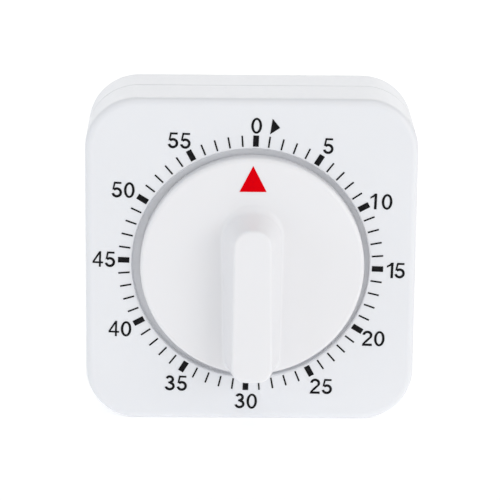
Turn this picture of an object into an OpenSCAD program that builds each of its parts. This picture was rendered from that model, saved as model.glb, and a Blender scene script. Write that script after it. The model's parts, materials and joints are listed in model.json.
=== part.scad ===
// Wind-up 60-minute kitchen timer: a square case with a turning dial knob on its front,
// and a spring-driven clockwork with an escapement and a bell behind it.
// Frame: +Z up, the face looks along -Y, X to the right. The origin is on the table,
// below the middle of the whole timer. "Depth" is the distance behind the face of the case.
// Positions inside the clockwork are [x, z] pairs counted from the axis of the main arbor.

/* [Case] */
// Width of the case
case_w = 70; // [70:0.5:74]
// Height of the case
case_h = 70.6; // [70:0.1:72]
// Depth of the case, from its face to its back
case_depth = 24.6; // [24.6:0.2:30]
// Corner radius, seen from the front
corner_r = 11; // [9:0.5:12]
// Rounding of the front edge
front_edge_r = 1.5; // [0.8:0.1:1.8]
// Rounding of the back edge
back_edge_r = 1.2; // [0.8:0.1:1.7]
// Thickness of the moulded walls
wall = 1.8; // [1.8:0.1:2.2]
// Depth of the back cover
cover_depth = 11.6; // [8:0.2:12]
// Height of the knob's axis above the table
axis_z = 34.8; // [34.5:0.1:35.5]
// Radius of the round well in the face, in which the knob sits
well_r = 25.2; // [24.6:0.1:25.4]
// Depth of the well
well_depth = 3.6; // [2.8:0.1:3.8]
// Depth of the ledge behind the rim of the knob, at the well's mouth
ledge_depth = 1.8; // [0.8:0.1:2.2]

/* [Knob] */
// Radius of the knob's disc
knob_r = 23.7; // [22:0.1:23.8]
// How far the disc stands in front of the face
knob_rise = 2.3; // [1.5:0.1:3.5]
// How far the knob's axis lies to the right of the well's middle
knob_x = 0.3; // [0:0.1:0.5]
// How far the grip stands in front of the disc
grip_rise = 7.5; // [6:0.1:10]
// Width of the grip's front at its top end
grip_top_w = 7.9; // [7.5:0.1:8.4]
// Width of the grip's front at its bottom end
grip_foot_w = 8.5; // [7.9:0.1:9.5]
// Top end of the grip's front, above the knob's axis
grip_top = 9.9; // [6:0.1:11]

/* [Dial] */
// Radius of the circle through the middles of the minute marks
tick_r = 26.9; // [26.8:0.05:27.2]
// Length of a minute mark
tick_len = 2.4; // [1.8:0.1:2.5]
// Width of a one-minute mark
tick_w = 0.34; // [0.2:0.02:0.5]
// Width of a five-minute mark
bold_tick_w = 1.2; // [0.8:0.05:1.4]
// Height of the numerals
numeral_h = 3.4; // [2.8:0.1:3.6]
// Radius of the circle through the middles of the numerals
numeral_r = 30.6; // [30.4:0.1:31]
// How far the print is turned clockwise on the face
print_turn = 1.8; // [0:0.1:3]
// Thickness of the printed ink
ink = 0.06; // [0.04:0.01:0.1]

/* [Clockwork] */
// Thickness of the two movement plates
plate_t = 0.8; // [0.8:0.1:1]
// Teeth of the main wheel and of the alarm wheel
big_teeth = 60; // [60:60]
// Teeth of the second, third and escape pinions
pinion_teeth = 8; // [8:8]
// Teeth of the second and third wheels
wheel_teeth = 56; // [56:56]
// Teeth of the escape wheel
escape_teeth = 15; // [13:1:17]
// Teeth of the star wheel that shakes the hammer
star_teeth = 12; // [8:1:14]
// Radius of the bell
bell_r = 19; // [16:0.5:19.5]

/* [Hidden] */

$fn = 64;
plastic = [0.95, 0.95, 0.94];
steel = [0.72, 0.73, 0.75];
brass = [0.80, 0.65, 0.30];
black_ink = [0.05, 0.05, 0.05];
red_ink = [0.85, 0.04, 0.10];
magnet_grey = [0.35, 0.35, 0.37];

// The whole timer is centred front to back on the origin
face_y = knob_rise + grip_rise - (knob_rise + grip_rise + case_depth) / 2;
seam = case_depth - cover_depth;
cover_inner = case_depth - wall;
face_t = 2;

// Clearances: a shaft turning in its hole, pieces of one body laid together,
// and the shoulder of an arbor in front of its plate
running_gap = 0.05;
snug_gap = 0.02;
end_play = 0.1;

// How far a cut runs past a surface, and how far moulded shapes run into each other
past = 1;
weld = 0.5;

// Fasteners
cover_screw_at = 27;
cover_boss_r = 3;
cover_screw_r = 1.3;
cover_screw_len = 9;
cover_head_r = 2.4;
cover_head_t = 1.6;
cover_floor_t = 1.6;
movement_screw_at = 21.5;
movement_screw_r = 1;
movement_screw_len = 3.4;
movement_head_r = 2;
movement_head_t = 1.2;
screw_slot = 0.5;

// Magnets in the back cover
magnet_at = [15, 24.5];
magnet_r = 6;
magnet_t = 1.5;
magnet_sink = 0.3;

// Depths of the layers of the clockwork
well_floor_t = 1.4;
well_wall = 1.5;
front_plate_near = well_depth + well_floor_t + 0.4;
front_plate_far = front_plate_near + plate_t;
plate_spacing = 9;
back_plate_far = front_plate_far + plate_spacing + plate_t;
back_plate_near = back_plate_far - plate_t;
plate_w = 48;
plate_corner_r = 4;
pillar_r = 1.6;
pillar_thread_r = 1;
nut_t = 0.9;
function layer(start, thickness) = [front_plate_far + start, front_plate_far + start + thickness];
alarm_layer = layer(0.5, 0.7);
hairspring_layer = layer(1.2, 1);
spring_layer = layer(1.4, 2.4);
third_layer = layer(2.4, 0.7);
balance_layer = layer(3.8, 1.2);
main_layer = layer(4.2, 0.7);
clutch_layer = layer(4.95, 0.8);
cam_layer = layer(5.8, 0.8);
roller_layer = layer(5.8, 1);
escape_layer = layer(6.1, 0.6);
second_layer = layer(7.1, 0.7);
pallet_layer = layer(7.1, 0.6);
hammer_arm_layer = layer(10.2, 0.8);
pinion_overlap = 0.3;

// Gears: module, then the distance between the centres of a wheel and its pinion
main_module = 0.4;
second_module = 0.35;
third_module = 0.3;
pressure_angle = 20;
tooth_play = 0.3;
function centre_distance(wheel, pinion, m) = (wheel + pinion) * m / 2;
function away(from, distance, direction) = from + distance * [cos(direction), sin(direction)];
function direction_to(a, b) = atan2(b[1] - a[1], b[0] - a[0]);

// Directions, seen from the front, in which each arbor lies from the one before it
second_direction = 215;
third_direction = 300;
escape_direction = 10;
star_direction = 55;

main_at = [0, 0];
second_at = away(main_at, centre_distance(big_teeth, pinion_teeth, main_module), second_direction);
third_at = away(second_at, centre_distance(wheel_teeth, pinion_teeth, second_module), third_direction);
escape_at = away(third_at, centre_distance(wheel_teeth, pinion_teeth, third_module), escape_direction);
pallet_at = escape_at + [7.4, 0.3];
balance_at = pallet_at + [5.4, 4.5];
star_at = away(main_at, centre_distance(big_teeth, pinion_teeth, main_module), star_direction);
hammer_at = away(star_at, 6.8, -15);
stop_at = [-8, 12.5];
bell_at = [-4, -5];
pillars_at = [[-21, 7], [-21.2, -15.2], [12.5, -21.8], [21, 2], [-2, 21.5]];
small_arbors_at = [second_at, third_at, escape_at, pallet_at, balance_at, star_at, hammer_at, stop_at];

// Turning each pinion so that a gap faces a tooth of the wheel that drives it
function in_mesh(direction, wheel_turn, wheel, pinion) =
    direction + 180 + 180 / pinion - (wheel_turn - direction) * wheel / pinion;
second_turn = in_mesh(second_direction, 0, big_teeth, pinion_teeth);
third_turn = in_mesh(third_direction, 0, wheel_teeth, pinion_teeth);
escape_turn = in_mesh(escape_direction, 0, wheel_teeth, pinion_teeth);
star_turn = in_mesh(star_direction, 0, big_teeth, pinion_teeth);

// Arbors
main_arbor_r = 1.8;
main_journal_r = 2;
main_pivot_r = 1;
small_arbor_r = 0.6;
small_pivot_r = 0.35;
arbor_flat = 1.3;
arbor_front = -5.7;
pivot_end = 0.1;
clip_near = front_plate_near - 0.6;
clip_far = front_plate_near - 0.2;
clip_groove_r = 1.5;

// Mainspring, hairspring
spring_in = 2.1;
spring_out = 8;
spring_turns = 7;
spring_strip = 0.2;
spring_post_r = 0.35;
spring_post_at = [8.6, 0];
hairspring_in = 1;
hairspring_out = 4.2;
hairspring_turns = 5;
hairspring_strip = 0.1;

// Escapement
escape_tip_r = 4.6;
escape_root_r = 3.3;
pin_r = 0.25;
pin_end = 0.1;
pallet_pin_circle = 5.3;
pallet_pin_spread = 38;
balance_r = 6;
impulse_pin_circle = 1.5;

// Alarm
cam_r = 6;
star_tip_r = 4.2;
star_root_r = 2.6;
anchor_clear_r = 4.6;
hammer_head_r = 1.6;
hammer_head_t = 2;
hammer_rest_gap = 0.75;
bell_t = 0.7;
bell_rim = hammer_arm_layer[1] + 0.2;
bell_top = 21.6;
bell_shoulder_r = 2;
bell_screw_r = 1;
bell_post_r = 2.2;
hammer_strike_direction = 10;
hammer_head_at =
    away(bell_at, bell_r - bell_t - hammer_rest_gap - hammer_head_r, hammer_strike_direction);

// ---- Drawing helpers ----

// A flat piece drawn in the front view, from one depth to a larger one
module slab(near, far, at = [0, 0], turn = 0) {
    translate([at[0], face_y + far, axis_z + at[1]])
        rotate([90, 0, 0])
            rotate(turn)
                linear_extrude(far - near)
                    children();
}

// A turned piece: its outline is drawn as [radius, depth] points
module turned(at = [0, 0]) {
    translate([at[0], face_y, axis_z + at[1]])
        rotate([-90, 0, 0])
            rotate_extrude()
                children();
}

// A piece of the clockwork or the knob: coloured, and moved onto the knob's axis
module on_knob_axis(colour) {
    color(colour)
        translate([knob_x, 0, 0])
            children();
}

module disc(r, near, far, at = [0, 0]) {
    turned(at)
        translate([0, near])
            square([r, far - near]);
}

module rounded_rect(w, h, r) {
    square([w, h - 2 * r], center = true);
    square([w - 2 * r, h], center = true);
    for (x = [-1, 1], y = [-1, 1])
        translate([x * (w / 2 - r), y * (h / 2 - r)])
            circle(r);
}

// Carries a wall section round the case: its x runs outwards from the corner's centre,
// and its y is the depth
module around_case() {
    straight_x = case_w - 2 * corner_r;
    straight_z = case_h - 2 * corner_r;
    middle_z = case_h / 2;
    for (quarter = [0:3]) {
        side_x = quarter == 0 || quarter == 3 ? 1 : -1;
        side_z = quarter < 2 ? 1 : -1;
        translate([side_x * straight_x / 2, face_y, middle_z + side_z * straight_z / 2])
            rotate([-90, 0, 0])
                rotate(-90 * (quarter + 1))
                    rotate_extrude(angle = 90)
                        children();
    }
    for (side = [-1, 1]) {
        translate([side * straight_x / 2, face_y, middle_z + side * straight_z / 2])
            rotate([0, -90 * side, 0])
                linear_extrude(straight_x)
                    children();
        translate([side * straight_x / 2, face_y, middle_z - straight_z / 2])
            linear_extrude(straight_z)
                mirror([side < 0 ? 1 : 0, 0])
                    children();
    }
}

// The flat middle of the face or of the back
module middle_slab(near, far) {
    slab(near, far, [0, case_h / 2 - axis_z])
        square([case_w - 2 * corner_r, case_h - 2 * corner_r], center = true);
}

// Does something at each of the four corners of a square
module at_corners(half_spacing) {
    for (x = [-1, 1], z = [-1, 1])
        translate([x * half_spacing, 0, z * half_spacing])
            children();
}

// A stroke along part of an ellipse, for a numeral
module arc_stroke(x, y, rx, ry, from, to, width) {
    steps = ceil(abs(to - from) / 12);
    angles = [for (i = [0:steps]) from + (to - from) * i / steps];
    outer = [for (a = angles) [x + rx * cos(a), y + ry * sin(a)]];
    inner = [for (i = [steps:-1:0])
        [x + (rx - width) * cos(angles[i]), y + (ry - width) * sin(angles[i])]];
    polygon(concat(outer, inner));
}

// ---- Case ----

module front_wall_section() {
    inner_r = corner_r - wall;
    difference() {
        union() {
            square([corner_r - front_edge_r, seam]);
            translate([0, front_edge_r])
                square([corner_r, seam - front_edge_r]);
            translate([corner_r - front_edge_r, front_edge_r])
                circle(front_edge_r);
        }
        translate([-1, face_t])
            square([inner_r + 1, seam]);
    }
}

// What a round hole in a flat face loses at its mouth, so that its edge is rounded
module rounded_mouth(hole_r, edge_r) {
    turned()
        difference() {
            translate([hole_r - edge_r, -edge_r])
                square([2 * edge_r, 2 * edge_r]);
            translate([hole_r + edge_r, edge_r])
                circle(edge_r);
        }
}

module front_shell() {
    hub_hole_r = 4.2;
    mouth_edge_r = 0.3;
    boss_r = 3;
    tip_room = 0.4;
    ledge_hole_r = 21.5;
    color(plastic)
    difference() {
        union() {
            around_case()
                front_wall_section();
            middle_slab(0, face_t);
            disc(well_r + well_wall, face_t - weld, well_depth + well_floor_t);
            at_corners(cover_screw_at)
                disc(cover_boss_r, face_t - weld, seam);
            translate([knob_x, 0, 0])
                at_corners(movement_screw_at)
                    disc(boss_r, face_t - weld, front_plate_near);
        }
        disc(well_r, -past, ledge_depth);
        rounded_mouth(well_r, mouth_edge_r);
        translate([knob_x, 0, 0]) {
            disc(ledge_hole_r, 0, well_depth);
            disc(hub_hole_r, 0, front_plate_near);
            at_corners(movement_screw_at)
                disc(movement_screw_r + snug_gap, front_plate_far - movement_screw_len - tip_room,
                    front_plate_near + past);
        }
        at_corners(cover_screw_at)
            disc(cover_screw_r + snug_gap, seam - cover_screw_len, seam + past);
    }
}

// The cover's rim, with a groove at the seam and a lip that enters the front shell
module cover_wall_section() {
    lip_w = 1;
    lip_gap = 0.1;
    lip_len = 2.5;
    lip_root = 2;
    groove = 0.3;
    inner_r = corner_r - wall;
    lip_in = inner_r - lip_gap - lip_w;
    difference() {
        union() {
            translate([0, seam])
                square([corner_r - back_edge_r, cover_depth]);
            translate([0, seam])
                square([corner_r, cover_depth - back_edge_r]);
            translate([corner_r - back_edge_r, case_depth - back_edge_r])
                circle(back_edge_r);
            translate([lip_in, seam - lip_len])
                square([lip_w, lip_len + lip_root]);
        }
        translate([-past, seam + lip_root])
            square([inner_r + past, cover_inner - seam - lip_root]);
        translate([-past, seam - past])
            square([lip_in + past, lip_root + 2 * past]);
        translate([corner_r - groove, seam - past])
            square([groove + past, groove + past]);
    }
}

module back_cover() {
    tube_r = 3.6;
    sink_r = cover_head_r + 0.2;
    slots = 5;
    slot_pitch = 4;
    slot_len = 18;
    slot_w = 1.6;
    pocket_wall = 1;
    magnet_near = case_depth - magnet_sink - magnet_t;
    color(plastic)
    difference() {
        union() {
            around_case()
                cover_wall_section();
            middle_slab(cover_inner, case_depth);
            at_corners(cover_screw_at)
                disc(tube_r, seam, case_depth - weld);
            for (side = [-1, 1])
                disc(magnet_r + pocket_wall, magnet_near - pocket_wall, case_depth - weld,
                    [side * magnet_at[0], magnet_at[1]]);
        }
        at_corners(cover_screw_at) {
            disc(cover_screw_r + snug_gap, seam - past, case_depth);
            disc(sink_r, seam + cover_floor_t, case_depth + past);
        }
        for (side = [-1, 1])
            disc(magnet_r + snug_gap, magnet_near, case_depth + past, [side * magnet_at[0], magnet_at[1]]);
        for (i = [0:slots - 1])
            slab(cover_inner - past, case_depth + past,
                [0, bell_at[1] + (i - (slots - 1) / 2) * slot_pitch])
                slot_shape(slot_len, slot_w);
    }
}

module slot_shape(length, width) {
    square([length - width, width], center = true);
    for (side = [-1, 1])
        translate([side * (length - width) / 2, 0])
            circle(width / 2);
}

// A screw whose head is towards the back, with a cross cut into the head
module screw_from_back(shank_r, shank_len, head_r, head_near, head_t, at = [0, 0]) {
    head_far = head_near + head_t;
    difference() {
        union() {
            disc(shank_r, head_near - shank_len, head_near, at);
            disc(head_r, head_near, head_far, at);
        }
        for (turn = [0, 90])
            slab(head_far - head_t * 0.4, head_far + past, at, turn)
                square([head_r * 1.5, screw_slot], center = true);
    }
}

module cover_screws() {
    color(steel)
    at_corners(cover_screw_at)
        screw_from_back(cover_screw_r, cover_screw_len, cover_head_r, seam + cover_floor_t, cover_head_t);
}

module magnets() {
    color(magnet_grey)
    for (side = [-1, 1])
        disc(magnet_r, case_depth - magnet_sink - magnet_t, case_depth - magnet_sink,
            [side * magnet_at[0], magnet_at[1]]);
}

// ---- Print on the face ----

// The numerals are drawn one unit high, with their left foot at the origin
numeral_w = 0.66;
stroke = 0.155;

module digit_0() {
    difference() {
        translate([0.33, 0.5])
            scale([0.33, 0.5])
                circle(1, $fn = 48);
        translate([0.33, 0.5])
            scale([0.33 - stroke, 0.5 - stroke * 0.85])
                circle(1, $fn = 48);
    }
}

module digit_1() {
    translate([0.36, 0])
        square([stroke, 1]);
    polygon([[0.36, 1], [0.42, 0.86], [0.36, 0.8], [0.11, 0.67], [0.11, 0.79], [0.28, 0.89]]);
}

module digit_2() {
    arc_stroke(0.33, 0.71, 0.31, 0.29, -32, 176, stroke);
    polygon([[0.01, 0], [0.64, 0], [0.64, stroke * 0.95], [0.18, stroke * 0.95],
        [0.33, 0.27], [0.6, 0.56], [0.49, 0.62], [0.24, 0.38], [0.05, 0.15]]);
}

module digit_3() {
    arc_stroke(0.31, 0.735, 0.27, 0.265, -90, 162, stroke);
    arc_stroke(0.32, 0.29, 0.32, 0.29, -168, 90, stroke);
    translate([0.22, 0.47])
        square([0.12, 0.11]);
}

module digit_4() {
    difference() {
        polygon([[0.5, 1], [0.4, 1], [0, 0.34], [0, 0.23], [0.4, 0.23], [0.4, 0], [0.52, 0],
            [0.52, 0.23], [0.66, 0.23], [0.66, 0.34], [0.52, 0.34], [0.52, 1]]);
        polygon([[0.4, 0.34], [0.4, 0.79], [0.125, 0.34]]);
    }
}

module digit_5() {
    polygon([[0.13, 1], [0.59, 1], [0.59, 0.88], [0.22, 0.88], [0.17, 0.62], [0.155, 0.545],
        [0.045, 0.49]]);
    arc_stroke(0.32, 0.325, 0.325, 0.325, -167, 138, stroke);
}

module digit(value) {
    if (value == 0) digit_0();
    if (value == 1) digit_1();
    if (value == 2) digit_2();
    if (value == 3) digit_3();
    if (value == 4) digit_4();
    if (value == 5) digit_5();
}

// From one figure of a number to the next: the 1 stands apart from a 0 and close to a 5
function figure_step(value) = value == 10 ? 0.82 : value == 15 ? 0.6 : 0.76;

// A number centred on the origin, upright
module numeral(value) {
    advance = figure_step(value);
    digits = value < 10 ? [value] : [floor(value / 10), value % 10];
    width = advance * (len(digits) - 1) + numeral_w;
    scale([numeral_h, numeral_h])
        translate([-width / 2, -0.5])
            for (i = [0:len(digits) - 1])
                translate([advance * i, 0])
                    digit(digits[i]);
}

// The outward end of every mark lies on one circle
module minute_marks() {
    for (minute = [0:59]) {
        bold = minute % 5 == 0;
        rotate(-6 * minute)
            translate([0, tick_r])
                square([bold ? bold_tick_w : tick_w, tick_len], center = true);
    }
}

// The numbers stand a little further out at the sides. Like numbers set by hand, each one
// is also moved a little, to the right and up, from its place on the circle.
module minute_numbers() {
    side_step = 0.45;
    moved = [[0, -0.4], [-0.2, -0.3], [-0.1, -0.7], [-0.4, -0.2], [0, 0], [0.8, 0],
        [0.2, 0], [0.5, -0.4], [-0.4, 0.2], [0, 0], [-0.6, -0.2], [-0.6, -0.3]];
    for (i = [0:11]) {
        clockwise = 30 * i;
        r = numeral_r + side_step * abs(sin(clockwise));
        translate([r * sin(clockwise), r * cos(clockwise)] + moved[i])
            numeral(5 * i);
    }
}

// The arrow points along the circle, the way the knob is wound
module winding_arrow() {
    arrow_turn = 7;
    arrow_r = 30.3;
    arrow_len = 1.85;
    arrow_half = 1.7;
    rotate(-arrow_turn)
        translate([0, arrow_r])
            polygon([[-arrow_len / 3, arrow_half], [-arrow_len / 3, -arrow_half], [arrow_len * 2 / 3, 0]]);
}

module dial_print() {
    color(black_ink)
    slab(-ink, 0, [0, 0], -print_turn) {
        minute_marks();
        minute_numbers();
        winding_arrow();
    }
}

// ---- Knob, and what turns with it ----

// The four rounded corners of the grip's outline, all set inwards by the inset
module grip_corners(top_w, top, top_r, foot_w, foot, inset) {
    foot_r = 3.3;
    for (side = [-1, 1]) {
        translate([side * (top_w / 2 - top_r), top - top_r])
            circle(top_r - inset, $fn = 32);
        translate([side * (foot_w / 2 - foot_r), foot + foot_r])
            circle(foot_r - inset, $fn = 32);
    }
}

// The grip is a bar that spreads towards the disc, mostly at its top end
module grip_solid(inset, front) {
    top_r = 3.5;
    spread_top_w = 12.6;
    spread_top_r = 5.8;
    spread_foot_w = 11.8;
    top_slope = 2.4;
    sheet = 0.5;
    foot = -knob_r + 0.2;
    hull() {
        slab(-front, -front + sheet)
            grip_corners(grip_top_w, grip_top, top_r, grip_foot_w, foot, inset);
        slab(-knob_rise, -knob_rise + sheet + inset)
            grip_corners(spread_top_w, grip_top + top_slope, spread_top_r, spread_foot_w, foot, inset);
    }
}

// The disc and its rim before they are hollowed, with a rounded front edge
module knob_section(rim_far) {
    edge_r = 0.8;
    translate([0, -knob_rise])
        square([knob_r - edge_r, knob_rise + rim_far]);
    translate([0, -knob_rise + edge_r])
        square([knob_r, knob_rise + rim_far - edge_r]);
    translate([knob_r - edge_r, -knob_rise + edge_r])
        circle(edge_r);
}

module dial_knob() {
    skin = 1.5;
    rim_far = ledge_depth - 0.3;
    boss_far = well_depth - 0.4;
    boss_r = 3.7;
    bore_end = arbor_front - 0.3;
    boss_wall = 0.6;
    on_knob_axis(plastic)
    difference() {
        union() {
            difference() {
                union() {
                    turned()
                        knob_section(rim_far);
                    grip_solid(0, knob_rise + grip_rise);
                }
                disc(knob_r - skin, -knob_rise + skin, rim_far + past);
                grip_solid(skin, knob_rise + grip_rise - skin);
            }
            disc(boss_r, bore_end - boss_wall, boss_far);
        }
        arbor_section(snug_gap, bore_end, boss_far + past);
    }
}

// The front of the arbor is round with one flat
module arbor_section(grow, near, far) {
    difference() {
        disc(main_journal_r + grow, near, far);
        slab(near - past, far + past, [0, arbor_flat + grow + main_journal_r])
            square(2 * (main_journal_r + grow), center = true);
    }
}

module pointer_print() {
    half_base = 2.85;
    apex = 22.1;
    foot = 16.5;
    on_knob_axis(red_ink)
    slab(-knob_rise - ink, -knob_rise)
        polygon([[-half_base, foot], [half_base, foot], [0, apex]]);
}

module main_arbor() {
    collar_r = 2.6;
    collar_near = front_plate_far + end_play;
    on_knob_axis(steel)
    difference() {
        union() {
            arbor_section(0, arbor_front, clip_near);
            disc(main_journal_r, well_depth, collar_near);
            disc(collar_r, collar_near, alarm_layer[0] - end_play);
            disc(main_arbor_r, collar_near, back_plate_near - end_play);
            disc(main_pivot_r, collar_near, back_plate_far + pivot_end);
        }
        difference() {
            disc(main_journal_r + past, clip_near, clip_far);
            disc(clip_groove_r, clip_near - past, clip_far + past);
        }
    }
}

// A clip sprung into the arbor's groove, open on one side
module arbor_clip() {
    clip_r = 3.2;
    mouth_w = 2.4;
    on_knob_axis(steel)
    slab(clip_near + snug_gap, clip_far - snug_gap)
        difference() {
            circle(clip_r);
            circle(clip_groove_r + snug_gap);
            translate([0, -clip_r])
                square([mouth_w, 2 * clip_r], center = true);
        }
}

// ---- Gears ----

function involute(angle) = tan(angle) * 180 / PI - angle;

// Half of the angle that a tooth fills at radius r
function tooth_half(teeth, m, r) =
    let (pitch_r = teeth * m / 2)
    let (play = tooth_play * m / pitch_r / 2 * 180 / PI)
    let (base_r = pitch_r * cos(pressure_angle))
    let (at_r = acos(min(1, base_r / r)))
    90 / teeth - play + involute(pressure_angle) - involute(at_r);

// Radii of the points of a tooth's flank, from its root to its tip
function flank_radii(teeth, m) =
    let (pitch_r = teeth * m / 2)
    let (base_r = pitch_r * cos(pressure_angle))
    let (root_r = pitch_r - 1.25 * m)
    let (tip_r = pitch_r + 0.8 * m)
    base_r > root_r ? [root_r, base_r, tip_r] : [root_r, tip_r];

module gear_shape(teeth, m) {
    radii = flank_radii(teeth, m);
    last = len(radii) - 1;
    polygon([for (i = [0:teeth - 1], side = [-1, 1], j = [0:last])
        let (r = radii[side < 0 ? j : last - j])
        let (a = 360 * i / teeth + side * tooth_half(teeth, m, r))
        [r * cos(a), r * sin(a)]]);
}

// A wheel with a rim and spokes, cut from sheet
module spoked(rim_in, hub_r, spokes, spoke_w) {
    difference() {
        children();
        difference() {
            circle(rim_in);
            circle(hub_r);
            for (i = [0:spokes - 1])
                rotate(360 * i / spokes)
                    translate([0, -spoke_w / 2])
                        square([rim_in + 1, spoke_w]);
        }
    }
}

module sheet_wheel(layer, at, teeth, m, bore_r, hub_r, spokes) {
    rim_w = 2.2;
    spoke_w = 1.6;
    slab(layer[0], layer[1], at)
        difference() {
            spoked(teeth * m / 2 - rim_w, hub_r, spokes, spoke_w)
                gear_shape(teeth, m);
            circle(bore_r);
        }
}

// A thin arbor between the plates, with a pivot in each
module small_arbor(at) {
    disc(small_pivot_r, front_plate_near - pivot_end, back_plate_far + pivot_end, at);
    disc(small_arbor_r, front_plate_far + end_play, back_plate_near - end_play, at);
}

// An arbor whose pinion meshes with a wheel in the given layer
module pinion_arbor(at, turn, m, meshing_layer) {
    small_arbor(at);
    slab(meshing_layer[0] - pinion_overlap, meshing_layer[1] + pinion_overlap, at, turn)
        gear_shape(pinion_teeth, m);
}

module main_wheel() {
    on_knob_axis(brass)
    sheet_wheel(main_layer, main_at, big_teeth, main_module, main_arbor_r + snug_gap,
        hub_r = 4, spokes = 5);
}

// A three-armed spring washer that presses on the main wheel, so that it can slip
module clutch_spring() {
    ring_r = 3;
    arm_r = 5;
    arm_w = 2;
    on_knob_axis(steel)
    slab(clutch_layer[0], clutch_layer[1])
        difference() {
            union() {
                circle(ring_r);
                for (i = [0:2])
                    rotate(120 * i)
                        translate([0, -arm_w / 2])
                            square([arm_r, arm_w]);
            }
            circle(main_arbor_r + snug_gap);
        }
}

// The cam has one notch, which stands under the stop lever's nose when the time is up
module alarm_cam() {
    notch_depth = 1.3;
    notch_w = 2;
    on_knob_axis(brass)
    slab(cam_layer[0], cam_layer[1])
        difference() {
            circle(cam_r);
            circle(main_arbor_r + snug_gap);
            translate([-notch_w / 2, cam_r - notch_depth])
                square([notch_w, notch_depth + past]);
        }
}

module second_arbor() {
    on_knob_axis(steel)
    pinion_arbor(second_at, second_turn, main_module, main_layer);
}

module second_wheel() {
    on_knob_axis(brass)
    sheet_wheel(second_layer, second_at, wheel_teeth, second_module, small_arbor_r + snug_gap,
        hub_r = 2.6, spokes = 4);
}

module third_arbor() {
    on_knob_axis(steel)
    pinion_arbor(third_at, third_turn, second_module, second_layer);
}

module third_wheel() {
    on_knob_axis(brass)
    sheet_wheel(third_layer, third_at, wheel_teeth, third_module, small_arbor_r + snug_gap,
        hub_r = 2.4, spokes = 4);
}

module escape_arbor() {
    on_knob_axis(steel)
    pinion_arbor(escape_at, escape_turn, third_module, third_layer);
}

// Pointed teeth that lean the way the wheel turns
module saw_wheel(teeth, root_r, tip_r, lean) {
    polygon([for (i = [0:teeth - 1], j = [0:1])
        let (a = 360 * (i + j * lean) / teeth)
        let (r = j == 0 ? root_r : tip_r)
        [r * cos(a), r * sin(a)]]);
}

module escape_wheel() {
    rim_w = 0.7;
    on_knob_axis(brass)
    slab(escape_layer[0], escape_layer[1], escape_at)
        difference() {
            spoked(escape_root_r - rim_w, hub_r = 1.3, spokes = 4, spoke_w = 0.7)
                saw_wheel(escape_teeth, escape_root_r, escape_tip_r, lean = 0.25);
            circle(small_arbor_r + snug_gap);
        }
}

// ---- Escapement ----

pallet_swing_direction = direction_to(pallet_at, balance_at);

function pallet_pin_at(side) =
    away(escape_at, pallet_pin_circle, direction_to(escape_at, pallet_at) + side * pallet_pin_spread);

module pallet_arbor() {
    on_knob_axis(steel)
    small_arbor(pallet_at);
}

// A straight arm of sheet metal from one point to another
module arm(from, to, width) {
    translate(from)
        rotate(direction_to(from, to)) {
            translate([0, -width / 2])
                square([norm(to - from), width]);
            circle(width / 2);
            translate([norm(to - from), 0])
                circle(width / 2);
        }
}

module pallet_lever() {
    hub_r = 1.5;
    arm_w = 1;
    fork_start = 3.9;
    fork_end = 6.3;
    fork_web = 0.5;
    fork_half_gap = 0.5;
    prong_w = 0.6;
    on_knob_axis(brass)
    slab(pallet_layer[0], pallet_layer[1], pallet_at)
        difference() {
            union() {
                circle(hub_r);
                for (side = [-1, 1])
                    arm([0, 0], pallet_pin_at(side) - pallet_at, arm_w);
                rotate(pallet_swing_direction) {
                    translate([0, -arm_w / 2])
                        square([fork_start + fork_web, arm_w]);
                    translate([fork_start, -fork_half_gap - prong_w])
                        square([fork_end - fork_start, 2 * (fork_half_gap + prong_w)]);
                }
            }
            circle(small_arbor_r + snug_gap);
            for (side = [-1, 1])
                translate(pallet_pin_at(side) - pallet_at)
                    circle(pin_r + snug_gap);
            rotate(pallet_swing_direction)
                translate([fork_start + fork_web, -fork_half_gap])
                    square([fork_end, 2 * fork_half_gap]);
        }
}

module pallet_pins() {
    on_knob_axis(steel)
    for (side = [-1, 1])
        disc(pin_r, escape_layer[0] - pin_end, pallet_layer[1], pallet_pin_at(side));
}

module balance_staff() {
    on_knob_axis(steel)
    small_arbor(balance_at);
}

module balance_wheel() {
    rim_w = 1.3;
    on_knob_axis(brass)
    slab(balance_layer[0], balance_layer[1], balance_at, pallet_swing_direction)
        difference() {
            spoked(balance_r - rim_w, hub_r = 1.4, spokes = 3, spoke_w = 1)
                circle(balance_r);
            circle(small_arbor_r + snug_gap);
        }
}

// The roller carries the pin that the lever's fork pushes
module impulse_roller() {
    roller_r = 2.1;
    impulse_at = away(balance_at, impulse_pin_circle, pallet_swing_direction + 180);
    on_knob_axis(brass)
    difference() {
        union() {
            disc(roller_r, roller_layer[0], roller_layer[1], balance_at);
            disc(pin_r, roller_layer[0], pallet_layer[1] + pin_end, impulse_at);
        }
        disc(small_arbor_r + snug_gap, roller_layer[0] - past, back_plate_near, balance_at);
    }
}

// A flat spiral strip, its inner end first
module spiral(r_in, r_out, turns, strip, steps_per_turn) {
    steps = turns * steps_per_turn;
    angles = [for (i = [0:steps]) 360 * turns * i / steps];
    function coil(a, shift) = (r_in + (r_out - r_in) * a / (360 * turns) + shift) * [cos(a), sin(a)];
    polygon(concat(
        [for (a = angles) coil(a, strip)],
        [for (i = [steps:-1:0]) coil(angles[i], 0)]));
}

module hairspring() {
    on_knob_axis(steel)
    slab(hairspring_layer[0], hairspring_layer[1], balance_at)
        spiral(hairspring_in, hairspring_out, hairspring_turns, hairspring_strip, steps_per_turn = 24);
}

// The outer end of the hairspring is held by a stud riveted to the front plate
module hairspring_stud() {
    stud_r = 0.5;
    on_knob_axis(brass)
    disc(stud_r, front_plate_far, hairspring_layer[1],
        balance_at + [hairspring_out + hairspring_strip + stud_r + snug_gap, 0]);
}

// ---- Alarm ----

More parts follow.
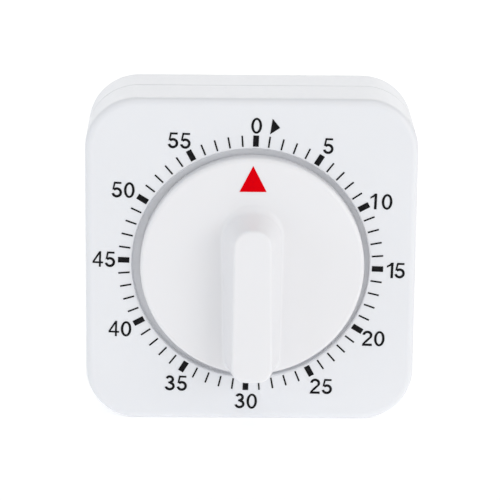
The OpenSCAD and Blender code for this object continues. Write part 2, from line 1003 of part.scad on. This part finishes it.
// The alarm wheel turns freely on the main arbor and holds the outer end of the mainspring
module alarm_wheel() {
    post_boss_r = 1;
    on_knob_axis(brass) {
        sheet_wheel(alarm_layer, main_at, big_teeth, main_module, main_arbor_r + running_gap,
            hub_r = 4, spokes = 5);
        disc(post_boss_r, alarm_layer[0], alarm_layer[1], spring_post_at);
        disc(spring_post_r, alarm_layer[0], spring_layer[1], spring_post_at);
    }
}

module mainspring() {
    on_knob_axis(steel)
    slab(spring_layer[0], spring_layer[1])
        spiral(spring_in, spring_out, spring_turns, spring_strip, steps_per_turn = 20);
}

module star_arbor() {
    on_knob_axis(steel)
    pinion_arbor(star_at, star_turn, main_module, alarm_layer);
}

module star_wheel() {
    on_knob_axis(brass)
    slab(cam_layer[0], cam_layer[1], star_at)
        difference() {
            saw_wheel(star_teeth, star_root_r, star_tip_r, lean = 0.5);
            circle(small_arbor_r + snug_gap);
        }
}

// The hammer's arbor reaches through the back plate to carry the arm
module hammer_arbor() {
    on_knob_axis(steel) {
        disc(small_pivot_r, front_plate_near - pivot_end, front_plate_far + past, hammer_at);
        disc(small_arbor_r, front_plate_far + end_play, hammer_arm_layer[1], hammer_at);
    }
}

// Two pallets astride the star wheel: each tooth that passes throws the hammer once
module hammer_anchor() {
    hub_r = 1.6;
    pallet_w = 1.2;
    pallet_spread = 42;
    to_hammer = direction_to(star_at, hammer_at);
    on_knob_axis(brass)
    slab(cam_layer[0], cam_layer[1], hammer_at)
        difference() {
            union() {
                circle(hub_r);
                for (side = [-1, 1])
                    arm([0, 0], away(star_at, anchor_clear_r + pallet_w / 2,
                        to_hammer + side * pallet_spread) - hammer_at, pallet_w);
            }
            circle(small_arbor_r + snug_gap);
        }
}

module hammer_arm() {
    arm_w = 2;
    eye_r = 1.8;
    on_knob_axis(steel)
    slab(hammer_arm_layer[0], hammer_arm_layer[1])
        difference() {
            union() {
                arm(hammer_at, hammer_head_at, arm_w);
                translate(hammer_at)
                    circle(eye_r);
            }
            translate(hammer_at)
                circle(small_arbor_r + snug_gap);
        }
}

module hammer_head() {
    on_knob_axis(brass)
    disc(hammer_head_r, hammer_arm_layer[1], hammer_arm_layer[1] + hammer_head_t, hammer_head_at);
}

module stop_arbor() {
    on_knob_axis(steel)
    small_arbor(stop_at);
}

// The nose follows the cam, and the catch at the end holds the star wheel still
module stop_lever() {
    nose_gap = 0.75;
    nose_at = [0, cam_r + nose_gap];
    knee_at = [-0.5, 12.3];
    catch_gap = 0.9;
    catch_at = away(star_at, star_tip_r + catch_gap, 165);
    lever_w = 1.6;
    finger_w = 1.1;
    eye_r = 1.8;
    on_knob_axis(steel)
    slab(cam_layer[0], cam_layer[1])
        difference() {
            union() {
                arm(stop_at, knee_at, lever_w);
                arm(knee_at, nose_at, finger_w);
                arm(knee_at, catch_at, finger_w);
                translate(stop_at)
                    circle(eye_r);
            }
            translate(stop_at)
                circle(small_arbor_r + snug_gap);
        }
}

// A blade spring held by a pillar presses the lever towards the cam
module stop_spring() {
    blade_w = 0.3;
    side_gap = 0.1;
    on_knob_axis(steel)
    slab(cam_layer[0] + side_gap, cam_layer[1] - side_gap)
        arm([-3.6, 20.7], [-3.6, 13.8], blade_w);
}

// Half of a section through a cup with a rounded shoulder, its mouth towards the front
module cup_section(r, shoulder_r, top) {
    translate([0, bell_rim])
        square([r, top - shoulder_r - bell_rim]);
    translate([0, bell_rim])
        square([r - shoulder_r, top - bell_rim]);
    translate([r - shoulder_r, top - shoulder_r])
        circle(shoulder_r);
}

module bell() {
    hole_r = bell_screw_r + 0.1;
    on_knob_axis(steel)
    turned(bell_at)
        difference() {
            cup_section(bell_r, bell_shoulder_r, bell_top);
            cup_section(bell_r - bell_t, bell_shoulder_r - bell_t, bell_top - bell_t);
            translate([-past, bell_rim])
                square([past + hole_r, bell_top]);
        }
}

module bell_post() {
    on_knob_axis(brass)
    difference() {
        disc(bell_post_r, back_plate_far, bell_top - bell_t, bell_at);
        disc(bell_screw_r + snug_gap, back_plate_far + past, bell_top, bell_at);
    }
}

module bell_screw() {
    screw_len = 4;
    head_t = 0.7;
    on_knob_axis(steel)
    screw_from_back(bell_screw_r, screw_len, bell_post_r, bell_top, head_t, bell_at);
}

// ---- Movement plates ----

module pivot_holes() {
    for (at = small_arbors_at)
        translate(at)
            circle(small_pivot_r + running_gap);
}

module front_plate() {
    screw_hole_r = movement_screw_r + 0.1;
    on_knob_axis(steel)
    slab(front_plate_near, front_plate_far)
        difference() {
            rounded_rect(plate_w, plate_w, plate_corner_r);
            pivot_holes();
            circle(main_journal_r + running_gap);
            for (x = [-1, 1], z = [-1, 1])
                translate([x, z] * movement_screw_at)
                    circle(screw_hole_r);
        }
}

// The corners are cut back so that the movement screws can be reached
module back_plate() {
    corner_cut_r = 5;
    corner_cut_at = movement_screw_at + 1;
    on_knob_axis(steel)
    slab(back_plate_near, back_plate_far)
        difference() {
            rounded_rect(plate_w, plate_w, plate_corner_r);
            pivot_holes();
            circle(main_pivot_r + running_gap);
            translate(hammer_at)
                circle(small_arbor_r + running_gap);
            for (x = [-1, 1], z = [-1, 1])
                translate([x, z] * corner_cut_at)
                    circle(corner_cut_r);
            for (at = pillars_at)
                translate(at)
                    circle(pillar_thread_r + snug_gap);
        }
}

module plate_pillars() {
    on_knob_axis(steel)
    for (at = pillars_at) {
        disc(pillar_r, front_plate_far, back_plate_near, at);
        disc(pillar_thread_r, back_plate_near, back_plate_far + nut_t, at);
    }
}

// Hexagonal nuts on the threaded ends of the pillars
module pillar_nuts() {
    nut_r = 2;
    on_knob_axis(steel)
    for (at = pillars_at)
        slab(back_plate_far, back_plate_far + nut_t, at)
            difference() {
                circle(nut_r, $fn = 6);
                circle(pillar_thread_r + snug_gap);
            }
}

module movement_screws() {
    on_knob_axis(steel)
    at_corners(movement_screw_at)
        screw_from_back(movement_screw_r, movement_screw_len, movement_head_r, front_plate_far,
            movement_head_t);
}

front_shell();
back_cover();
cover_screws();
magnets();
dial_print();
dial_knob();
pointer_print();
main_arbor();
arbor_clip();
main_wheel();
clutch_spring();
alarm_cam();
front_plate();
back_plate();
plate_pillars();
pillar_nuts();
movement_screws();
alarm_wheel();
mainspring();
second_arbor();
second_wheel();
third_arbor();
third_wheel();
escape_arbor();
escape_wheel();
pallet_arbor();
pallet_lever();
pallet_pins();
balance_staff();
balance_wheel();
impulse_roller();
hairspring();
hairspring_stud();
star_arbor();
star_wheel();
hammer_arbor();
hammer_anchor();
hammer_arm();
hammer_head();
stop_arbor();
stop_lever();
stop_spring();
bell();
bell_post();
bell_screw();
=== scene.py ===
import functools
import json
import math

import bpy
from mathutils import Matrix, Vector


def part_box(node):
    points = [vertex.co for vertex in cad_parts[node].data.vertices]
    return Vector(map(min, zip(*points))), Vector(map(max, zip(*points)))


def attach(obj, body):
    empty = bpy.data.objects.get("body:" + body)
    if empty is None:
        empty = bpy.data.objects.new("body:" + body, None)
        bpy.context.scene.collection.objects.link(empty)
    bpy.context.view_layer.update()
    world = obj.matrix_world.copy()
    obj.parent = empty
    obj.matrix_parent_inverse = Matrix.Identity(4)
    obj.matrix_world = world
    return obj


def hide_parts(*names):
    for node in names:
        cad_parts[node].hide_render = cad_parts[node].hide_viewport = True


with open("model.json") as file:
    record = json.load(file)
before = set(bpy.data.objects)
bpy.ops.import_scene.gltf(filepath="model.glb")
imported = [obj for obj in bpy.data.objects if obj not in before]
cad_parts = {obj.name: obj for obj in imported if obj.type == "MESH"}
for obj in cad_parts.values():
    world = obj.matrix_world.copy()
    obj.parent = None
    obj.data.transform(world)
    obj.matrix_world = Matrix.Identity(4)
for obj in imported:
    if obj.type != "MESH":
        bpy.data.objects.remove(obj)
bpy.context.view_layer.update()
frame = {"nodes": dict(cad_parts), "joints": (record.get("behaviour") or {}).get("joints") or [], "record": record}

# ---- Places taken from the frame, in metres ----

MM = 0.001
JOINT_POS = {joint["name"]: joint["pos_m"] for joint in frame["joints"]}
KNOB_AXIS = Vector((JOINT_POS["knob_turn"][0], 0, JOINT_POS["knob_turn"][2]))
FACE_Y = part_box("front_shell")[0].y
KNOB_LOW, KNOB_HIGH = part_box("dial_knob")


# ---- Mesh helpers ----

def lofted(rings):
    """Points and faces of a closed skin through rings of equally many (x, y, z) points."""
    count = len(rings[0])
    last = (len(rings) - 1) * count
    vertices = [point for ring in rings for point in ring]
    faces = [tuple(reversed(range(count))), tuple(range(last, last + count))]
    for start in range(0, last, count):
        for i in range(count):
            j = (i + 1) % count
            faces.append((start + i, start + j, start + count + j, start + count + i))
    return vertices, faces


def add_mesh(name, vertices, faces):
    """A new object in the scene, made of the given points and faces."""
    mesh = bpy.data.meshes.new(name)
    mesh.from_pydata(vertices, [], faces)
    mesh.validate()
    obj = bpy.data.objects.new(name, mesh)
    bpy.context.scene.collection.objects.link(obj)
    return obj


def shade(obj, angle=40):
    """Smooth shading that stays crisp across edges sharper than the angle."""
    obj.data.shade_smooth()
    obj.data.set_sharp_from_angle(angle=math.radians(angle))
    weighted = obj.modifiers.new("weighted_normals", "WEIGHTED_NORMAL")
    weighted.keep_sharp = True


# ---- The knob: measures in millimetres around its axis, p standing for the height above the face ----

# Taken from the frame
KNOB_R = (KNOB_HIGH.x - KNOB_LOW.x) / 2 / MM
KNOB_FRONT = (FACE_Y - KNOB_LOW.y) / MM
KNOB_BACK = (FACE_Y - KNOB_HIGH.y) / MM

# The disc's front, the back of its rim, its rounded edges and the thickness of its wall
DISC_P = 2.3
RIM_BACK_P = -1.5
DISC_EDGE_R = 0.9
FOOT_EDGE_R = 0.15
BACK_EDGE_R = 0.2
KNOB_SKIN = 1.5

# The grip: the rounding of its front edge, the lines inside it that carry its flat front,
# and the hollow rounding where it meets the disc
GRIP_EDGE_R = 0.5
GRIP_FOOT_EDGE_R = 1.0
FRONT_INSETS = (2.2, 1.4)
TOP_FILLET_R = 1.6
SIDE_FILLET_R = 0.6
FOOT_R = KNOB_R - 0.2

# The grip's outline at its front and at the disc: half widths, top end, radii of the corners,
# and how far its foot reaches from the axis
GRIP_FRONT = {
    "half_top": 3.95, "top": 9.9, "top_r": 3.5,
    "half_foot": 4.25, "foot_r": 3.3, "end": FOOT_R,
}
GRIP_BASE = {
    "half_top": 6.3, "top": 12.3, "top_r": 5.8,
    "half_foot": 5.9, "foot_r": 3.3, "end": FOOT_R,
}

# The boss inside the knob, and its D-shaped bore
BOSS_R = 3.7
BORE_R = 2.02
BORE_FLAT = 1.32
BORE_END_P = 6.0
BOSS_END_P = 6.6

# How many steps each stretch of the mesh is divided into
TOP_STEPS = 3
TOP_ARC_STEPS = 16
FLANK_STEPS = 44
FOOT_ARC_STEPS = 9
END_STEPS = 5
EDGE_STEPS = 6
GRIP_RISE_STEPS = 6
FILLET_STEPS = 7
DISC_STEPS = 6
BOSS_STEPS = 64


def half_outline(m, inset):
    """The right half of the grip's outline from its top middle to its foot's middle, with normals.

    Each point is (x, z, normal x, normal z). The foot's end is an arc about the knob's axis.
    """
    top_r = m["top_r"]
    foot_r = m["foot_r"]
    top_c = Vector((m["half_top"] - top_r, m["top"] - top_r))
    foot_x = m["half_foot"] - foot_r
    foot_c = Vector((foot_x, -math.sqrt((m["end"] - foot_r) ** 2 - foot_x ** 2)))
    along = foot_c - top_c
    flank = math.degrees(math.atan2(along.y, along.x) + math.acos((top_r - foot_r) / along.length))
    end_angle = math.degrees(math.atan2(foot_c.y, foot_c.x))
    points = []

    def add_straight(start, stop, normal_angle, steps):
        n = (math.cos(math.radians(normal_angle)), math.sin(math.radians(normal_angle)))
        for k in range(steps):
            q = start.lerp(stop, k / steps)
            points.append((q.x, q.y, n[0], n[1]))

    def add_arc(centre, radius, start, stop, steps):
        for k in range(steps):
            a = math.radians(start + (stop - start) * k / steps)
            n = (math.cos(a), math.sin(a))
            points.append((centre.x + radius * n[0], centre.y + radius * n[1], n[0], n[1]))

    def on_circle(centre, radius, angle):
        a = math.radians(angle)
        return centre + radius * Vector((math.cos(a), math.sin(a)))

    r1 = top_r - inset
    r2 = foot_r - inset
    add_straight(Vector((0, top_c.y + r1)), on_circle(top_c, r1, 90), 90, TOP_STEPS)
    add_arc(top_c, r1, 90, flank, TOP_ARC_STEPS)
    add_straight(on_circle(top_c, r1, flank), on_circle(foot_c, r2, flank), flank, FLANK_STEPS)
    add_arc(foot_c, r2, flank, end_angle, FOOT_ARC_STEPS)
    add_arc(Vector((0, 0)), m["end"] - inset, end_angle, -90, END_STEPS)
    points.append((0, -(m["end"] - inset), 0, -1))
    return points


@functools.lru_cache(maxsize=None)
def grip_outline(p, inset):
    """The grip's whole outline at height p, clockwise from the top's middle."""
    share = (KNOB_FRONT - p) / (KNOB_FRONT - DISC_P)
    measures = {key: GRIP_FRONT[key] + (GRIP_BASE[key] - GRIP_FRONT[key]) * share for key in GRIP_FRONT}
    right = half_outline(measures, inset)
    left = [(-x, z, -nx, nz) for x, z, nx, nz in reversed(right[1:-1])]
    return right + left


def grip_ring(heights, inset=0.0, outwards=None):
    """One ring of the grip, with a height and a shift along the normal for each of its points."""
    ring = []
    for i, p in enumerate(heights):
        x, z, nx, nz = grip_outline(p, inset)[i]
        out = outwards[i] if outwards else 0
        ring.append((x + nx * out, z + nz * out, p))
    return ring


def disc_angles(outline):
    """For each point of the grip's outline, the angle at which its line ends on the disc's edge.

    Points of the foot's end keep their own angle, and the others are spread evenly.
    """
    count = len(outline)
    foot_from = 0.97 * FOOT_R  # points further out than this belong to the foot's end
    own = [math.atan2(z, x) for x, z, nx, nz in outline]
    foot = [i for i, (x, z, nx, nz) in enumerate(outline) if math.hypot(x, z) > foot_from]
    first, last = foot[0], foot[-1]
    start = own[last] + 2 * math.pi if own[last] < 0 else own[last]
    stop = own[first]
    free = count - (last - first)
    angles = list(own)
    for k in range(1, free):
        angles[(last + k) % count] = start + (stop - start) * k / free
    return angles


def disc_edge_r(angle):
    """The rounding of the disc's front edge, which is smaller where the grip's foot meets it."""
    at_foot = max(0, -math.sin(angle)) ** 4
    return DISC_EDGE_R + (FOOT_EDGE_R - DISC_EDGE_R) * at_foot


def front_edge_radii(outline):
    """The rounding of the grip's front edge, which is larger at its foot."""
    more_at_foot = GRIP_FOOT_EDGE_R - GRIP_EDGE_R
    return [GRIP_EDGE_R + more_at_foot * max(0, -nz) ** 2 for x, z, nx, nz in outline]


def fillet_radii(outline):
    """The hollow rounding between grip and disc: large at the grip's top, gone at its foot."""
    least = 0.02
    share_of_room = 0.8
    radii = []
    for x, z, nx, nz in outline:
        wanted = SIDE_FILLET_R + (TOP_FILLET_R - SIDE_FILLET_R) * max(0, nz) ** 2
        room = FOOT_R - math.hypot(x, z)
        radii.append(min(wanted, max(least, share_of_room * room)))
    return radii


def quarter_turn(steps):
    """Angles from 0 to a quarter of a turn."""
    return [math.pi / 2 * k / steps for k in range(steps + 1)]


def grip_front_rings(edges):
    """The grip's flat front and its rounded edge."""
    rings = [grip_ring([KNOB_FRONT] * len(edges), inset) for inset in FRONT_INSETS]
    for a in quarter_turn(EDGE_STEPS):
        heights = [KNOB_FRONT - e * (1 - math.cos(a)) for e in edges]
        rings.append(grip_ring(heights, outwards=[-e * (1 - math.sin(a)) for e in edges]))
    return rings


def grip_side_rings(edges, fillets):
    """The grip's flanks and the hollow rounding where they meet the disc."""
    rings = []
    for k in range(1, GRIP_RISE_STEPS):
        share = k / GRIP_RISE_STEPS
        rings.append(grip_ring([(KNOB_FRONT - e) * (1 - share) + (DISC_P + f) * share
                                for e, f in zip(edges, fillets)]))
    for a in quarter_turn(FILLET_STEPS):
        heights = [DISC_P + f * (1 - math.sin(a)) for f in fillets]
        rings.append(grip_ring(heights, outwards=[f * (1 - math.cos(a)) for f in fillets]))
    return rings


def disc_rings(inner, angles):
    """The disc's flat front, from the inner ring outwards, and its rounded edge."""
    rings = []
    for k in range(1, DISC_STEPS):
        share = k / DISC_STEPS
        ring = []
        for (x, z, p), a in zip(inner, angles):
            r = KNOB_R - disc_edge_r(a)
            out_x = x + (r * math.cos(a) - x) * share
            out_z = z + (r * math.sin(a) - z) * share
            ring.append((out_x, out_z, DISC_P))
        rings.append(ring)
    for turn in quarter_turn(EDGE_STEPS):
        ring = []
        for a in angles:
            e = disc_edge_r(a)
            r = KNOB_R - e * (1 - math.sin(turn))
            ring.append((r * math.cos(a), r * math.sin(a), DISC_P - e * (1 - math.cos(turn))))
        rings.append(ring)
    return rings


def inside_rings(angles):
    """The rim's outside and back, and the hollow inside the disc and the grip."""
    inside_r = KNOB_R - KNOB_SKIN
    ceiling = DISC_P - KNOB_SKIN
    profile = [
        (KNOB_R, RIM_BACK_P + BACK_EDGE_R),
        (KNOB_R - BACK_EDGE_R, RIM_BACK_P),
        (inside_r + BACK_EDGE_R, RIM_BACK_P),
        (inside_r, RIM_BACK_P + BACK_EDGE_R),
        (inside_r, ceiling),
    ]
    rings = [[(r * math.cos(a), r * math.sin(a), p) for a in angles] for r, p in profile]
    for p in (ceiling, KNOB_FRONT - KNOB_SKIN):
        rings.append(grip_ring([p] * len(angles), KNOB_SKIN))
    return rings


def knob_rings():
    """Rings from the middle of the grip's front, out over the disc, round its rim and up inside."""
    base_line = grip_outline(DISC_P, 0.0)
    angles = disc_angles(base_line)
    edges = front_edge_radii(grip_outline(KNOB_FRONT, 0.0))
    grip = grip_front_rings(edges) + grip_side_rings(edges, fillet_radii(base_line))
    return grip + disc_rings(grip[-1], angles) + inside_rings(angles)


def boss_rings():
    """Rings of the boss inside the knob: along its bore, over its back and along its outside."""
    angles = [2 * math.pi * i / BOSS_STEPS for i in range(BOSS_STEPS)]

    def bore_point(a, p):
        x = BORE_R * math.cos(a)
        return x, min(BORE_R * math.sin(a), BORE_FLAT), p

    bore = [[bore_point(a, p) for a in angles] for p in (BORE_END_P, KNOB_BACK)]
    outside = [[(BOSS_R * math.cos(a), BOSS_R * math.sin(a), p) for a in angles]
               for p in (KNOB_BACK, BOSS_END_P)]
    return bore + outside


def placed_on_knob(rings):
    """Rings of (x, z, p) around the knob's axis, as points in the frame."""
    return [[(KNOB_AXIS.x + x * MM, FACE_Y - p * MM, KNOB_AXIS.z + z * MM) for x, z, p in ring]
            for ring in rings]


def make_knob(material):
    """The knob's moulding, which stands in for the CAD knob and turns with its body."""
    vertices, faces = lofted(placed_on_knob(knob_rings()))
    boss_vertices, boss_faces = lofted(placed_on_knob(boss_rings()))
    faces += [tuple(len(vertices) + i for i in face) for face in boss_faces]
    knob = add_mesh("knob_moulding", vertices + boss_vertices, faces)
    knob.data.materials.append(material)
    shade(knob, angle=50)
    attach(knob, "knob")
    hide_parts("dial_knob")


# ---- Materials ----

class Surface:
    """A material under construction: its nodes, and the shader they feed."""

    def __init__(self, name, color, roughness, metallic=0.0):
        self.material = bpy.data.materials.new(name)
        self.material.use_nodes = True
        self.nodes = self.material.node_tree.nodes
        self.links = self.material.node_tree.links
        self.shader = self.nodes["Principled BSDF"]
        self.shader.inputs["Base Color"].default_value = (*color, 1)
        self.shader.inputs["Roughness"].default_value = roughness
        self.shader.inputs["Metallic"].default_value = metallic
        self.coordinates = self.nodes.new("ShaderNodeTexCoord")

    def stretched(self, stretch):
        """Object coordinates, stretched along the axes."""
        mapping = self.nodes.new("ShaderNodeMapping")
        mapping.inputs["Scale"].default_value = stretch
        self.links.new(self.coordinates.outputs["Object"], mapping.inputs["Vector"])
        return mapping.outputs["Vector"]

    def noise(self, size, detail=2.0, stretch=(1, 1, 1)):
        """Noise whose blotches are about the given size in metres."""
        noise = self.nodes.new("ShaderNodeTexNoise")
        noise.inputs["Scale"].default_value = 1 / size
        noise.inputs["Detail"].default_value = detail
        self.links.new(self.stretched(stretch), noise.inputs["Vector"])
        return noise.outputs["Fac"]

    def ramp(self, factor, low, high, start=0.3, stop=0.7):
        """A colour that goes from low to high as the factor goes from start to stop."""
        ramp = self.nodes.new("ShaderNodeValToRGB")
        ramp.color_ramp.elements[0].position = start
        ramp.color_ramp.elements[0].color = (*low, 1)
        ramp.color_ramp.elements[1].position = stop
        ramp.color_ramp.elements[1].color = (*high, 1)
        self.links.new(factor, ramp.inputs["Fac"])
        return ramp.outputs["Color"]

    def spread(self, factor, low, high, start=0.3, stop=0.7):
        """A number that goes from low to high as the factor goes from start to stop."""
        span = self.nodes.new("ShaderNodeMapRange")
        span.inputs["From Min"].default_value = start
        span.inputs["From Max"].default_value = stop
        span.inputs["To Min"].default_value = low
        span.inputs["To Max"].default_value = high
        self.links.new(factor, span.inputs["Value"])
        return span.outputs["Result"]

    def color(self, output):
        """Feeds the output to the shader's colour."""
        self.links.new(output, self.shader.inputs["Base Color"])

    def roughness(self, output):
        """Feeds the output to the shader's roughness."""
        self.links.new(output, self.shader.inputs["Roughness"])

    def bump(self, height, depth):
        """Bumps of the given depth in metres; each call adds to the one before."""
        bump = self.nodes.new("ShaderNodeBump")
        bump.inputs["Strength"].default_value = 1.0
        bump.inputs["Distance"].default_value = depth
        self.links.new(height, bump.inputs["Height"])
        before = self.shader.inputs["Normal"].links
        if before:
            self.links.new(before[0].from_socket, bump.inputs["Normal"])
        self.links.new(bump.outputs["Normal"], self.shader.inputs["Normal"])


def moulded_plastic(name, light, dark, roughness):
    """Satin moulded plastic: faint flow marks, a fine spark-eroded grain and a little depth."""
    s = Surface(name, light, roughness)
    s.color(s.ramp(s.noise(size=0.02, detail=3), dark, light))
    s.roughness(s.spread(s.noise(size=0.0012, detail=3), roughness - 0.05, roughness + 0.07))
    s.bump(s.noise(size=0.012), depth=0.00003)
    s.bump(s.noise(size=0.00025), depth=0.000004)
    s.shader.inputs["Subsurface Weight"].default_value = 0.12
    s.shader.inputs["Subsurface Radius"].default_value = (0.0012, 0.0011, 0.0010)
    s.shader.inputs["Subsurface Scale"].default_value = 1.0
    s.shader.inputs["IOR"].default_value = 1.5
    return s.material


def printed_ink(name, full, thin, gloss):
    """Pad-printed ink, matt, slightly uneven in cover, with a fine surface grain."""
    roughness = 0.55
    s = Surface(name, full, roughness)
    s.shader.inputs["Specular IOR Level"].default_value = gloss
    s.color(s.ramp(s.noise(size=0.0006, detail=4), thin, full, start=0.25, stop=0.5))
    s.roughness(s.spread(s.noise(size=0.0004), roughness - 0.08, roughness + 0.12))
    s.bump(s.noise(size=0.0002), depth=0.000005)
    return s.material


def brushed_metal(name, light, dark, roughness, stretch):
    """Metal with fine scratches along one way and a faint clouding."""
    s = Surface(name, light, roughness, metallic=1.0)
    scratches = s.noise(size=0.0008, detail=4, stretch=stretch)
    s.color(s.ramp(s.noise(size=0.004, detail=3), dark, light))
    s.roughness(s.spread(scratches, roughness - 0.08, roughness + 0.14))
    s.bump(scratches, depth=0.000006)
    return s.material


def pressed_ferrite(name):
    """Sintered magnet: dark grey, granular, with ground-off lighter specks."""
    s = Surface(name, (0.05, 0.05, 0.055), 0.55)
    grain = s.noise(size=0.0004, detail=5)
    s.color(s.ramp(grain, (0.035, 0.035, 0.04), (0.12, 0.12, 0.13), start=0.35, stop=0.75))
    s.roughness(s.spread(grain, 0.45, 0.75))
    s.bump(grain, depth=0.00003)
    return s.material


CASE_PLASTIC = moulded_plastic("case_plastic", (0.83, 0.84, 0.868), (0.815, 0.825, 0.853), 0.36)
KNOB_PLASTIC = moulded_plastic("knob_plastic", (0.852, 0.85, 0.868), (0.837, 0.835, 0.853), 0.34)
BLACK_INK = printed_ink("black_ink", (0.006, 0.006, 0.007), (0.02, 0.02, 0.022), gloss=0.08)
RED_INK = printed_ink("red_ink", (0.74, 0.0, 0.004), (0.66, 0.0, 0.006), gloss=0.01)
FERRITE = pressed_ferrite("pressed_ferrite")

# Metals: light and dark colour, roughness, and how much their scratches are squeezed along x, y and z
STEEL = brushed_metal("plate_steel", (0.66, 0.67, 0.69), (0.55, 0.56, 0.58), 0.3, (1, 1, 0.06))
BRIGHT_STEEL = brushed_metal("turned_steel", (0.72, 0.73, 0.75), (0.6, 0.61, 0.63), 0.22, (1, 0.08, 1))
SPRING_STEEL = brushed_metal("spring_steel", (0.2, 0.22, 0.28), (0.12, 0.13, 0.18), 0.25, (1, 0.1, 1))
BELL_METAL = brushed_metal("bell_metal", (0.78, 0.77, 0.74), (0.66, 0.65, 0.62), 0.18, (1, 0.1, 1))
BRASS = brushed_metal("stamped_brass", (0.80, 0.58, 0.24), (0.66, 0.46, 0.17), 0.26, (1, 1, 0.08))

# Nodes with a finish of their own; the others go by their material slot and, if steel, their name
FINISHES = {
    "front_shell": CASE_PLASTIC, "back_cover": CASE_PLASTIC, "dial_knob": KNOB_PLASTIC,
    "dial_print": BLACK_INK, "pointer_print": RED_INK, "magnets": FERRITE,
    "mainspring": SPRING_STEEL, "hairspring": SPRING_STEEL, "stop_spring": SPRING_STEEL,
    "clutch_spring": SPRING_STEEL, "bell": BELL_METAL,
}
SLOT_FINISHES = {"steel": STEEL, "brass": BRASS}
TURNED = ("arbor", "staff", "screw", "pillar", "nut", "pins", "clip")  # words in turned parts' names


def finish_cad_nodes():
    """Gives every carried-over node its material."""
    slots = {part["node"]: part["material_slot"] for part in frame["record"]["subparts"]}
    for node, obj in frame["nodes"].items():
        material = FINISHES.get(node)
        if material is None and slots[node] == "steel" and any(word in node for word in TURNED):
            material = BRIGHT_STEEL
        if material is None:
            material = SLOT_FINISHES[slots[node]]
        obj.data.materials.clear()
        obj.data.materials.append(material)


# ---- Stage: floor, light and camera ----

# Soft boxes: where they stand, how wide and high they are, in metres, and their powers in watts
LIGHTS = [
    {"name": "key_right", "place": (0.98, -0.82, 0.38), "size": (0.8, 0.8), "power": 4.35},
    {"name": "fill_left", "place": (-1.1, -0.42, 0.32), "size": (0.8, 0.8), "power": 2.1,
     "color": (0.82, 0.91, 1)},
    {"name": "top_soft", "place": (0, -0.5, 1.1), "size": (1.2, 1.2), "power": 2.2},
    {"name": "backdrop", "place": (0, 0.9, 0.35), "size": (1.6, 0.6), "power": 3.3},
]
LIGHTS_AIM = (0, 0, 0.035)
WHITE = (1, 1, 1)
WORLD_LIGHT = 0.52  # strength of the white surroundings
FLOOR_GLOW = 0.29  # strength of the floor's own light

# The camera: distance in metres, angles in degrees, sensor and lens in millimetres
CAMERA_DISTANCE = 0.6
CAMERA_AZIMUTH = -0.87
CAMERA_ELEVATION = 16.45
CAMERA_ROLL = 0.59
SENSOR_WIDTH = 36
LENS = 204.0
LENS_SHIFT = (-0.0014, 0.0288)


def make_floor():
    """A pale floor, a little brighter than paper, so that it fades into the backdrop."""
    half = 4.0
    steps = 8
    row = steps + 1
    vertices = [(half * (2 * i / steps - 1), half * (2 * j / steps - 1), 0)
                for j in range(row) for i in range(row)]
    faces = []
    for j in range(steps):
        for i in range(steps):
            corner = j * row + i
            faces.append((corner, corner + 1, corner + row + 1, corner + row))
    floor = add_mesh("floor", vertices, faces)
    s = Surface("pale_floor", (0.95, 0.95, 0.95), 0.7)
    s.color(s.ramp(s.noise(size=0.3), (0.94, 0.94, 0.94), (0.96, 0.96, 0.96)))
    s.shader.inputs["Specular IOR Level"].default_value = 0.1
    s.shader.inputs["Emission Color"].default_value = (*WHITE, 1)
    s.shader.inputs["Emission Strength"].default_value = FLOOR_GLOW
    floor.data.materials.append(s.material)


def add_soft_box(name, place, size, power, color=WHITE):
    """A rectangular soft box at the given place, turned towards the timer."""
    light = bpy.data.lights.new(name, "AREA")
    light.shape = "RECTANGLE"
    light.size, light.size_y = size
    light.energy = power
    light.color = color
    obj = bpy.data.objects.new(name, light)
    bpy.context.scene.collection.objects.link(obj)
    obj.location = place
    obj.rotation_euler = (Vector(LIGHTS_AIM) - Vector(place)).to_track_quat("-Z", "Y").to_euler()


def make_lights():
    """Two large soft boxes low at the sides, the right one stronger, one above the front, and the
    glow of a white backdrop, which runs along the top of the case."""
    for light in LIGHTS:
        add_soft_box(**light)
    world = bpy.data.worlds.new("studio")
    world.use_nodes = True
    world.node_tree.nodes["Background"].inputs["Color"].default_value = (*WHITE, 1)
    world.node_tree.nodes["Background"].inputs["Strength"].default_value = WORLD_LIGHT
    bpy.context.scene.world = world
    bpy.context.scene.view_settings.view_transform = "Standard"


def make_camera():
    """A long lens a little above the timer, turned and rolled by less than a degree."""
    azimuth = math.radians(CAMERA_AZIMUTH)
    elevation = math.radians(CAMERA_ELEVATION)
    roll = math.radians(CAMERA_ROLL)
    aim = Vector((0, FACE_Y, KNOB_AXIS.z))
    back = Vector((math.sin(azimuth) * math.cos(elevation),
                   -math.cos(azimuth) * math.cos(elevation),
                   math.sin(elevation)))
    camera_data = bpy.data.cameras.new("camera")
    camera_data.sensor_width = SENSOR_WIDTH
    camera_data.lens = LENS
    camera_data.shift_x, camera_data.shift_y = LENS_SHIFT
    camera_data.clip_start = 0.01
    camera = bpy.data.objects.new("camera", camera_data)
    bpy.context.scene.collection.objects.link(camera)
    rotation = (-back).to_track_quat("-Z", "Y").to_matrix().to_4x4()
    place = Matrix.Translation(aim + back * CAMERA_DISTANCE)
    camera.matrix_world = place @ rotation @ Matrix.Rotation(roll, 4, "Z")
    bpy.context.scene.camera = camera


make_camera()
make_lights()
make_floor()
finish_cad_nodes()
make_knob(KNOB_PLASTIC)
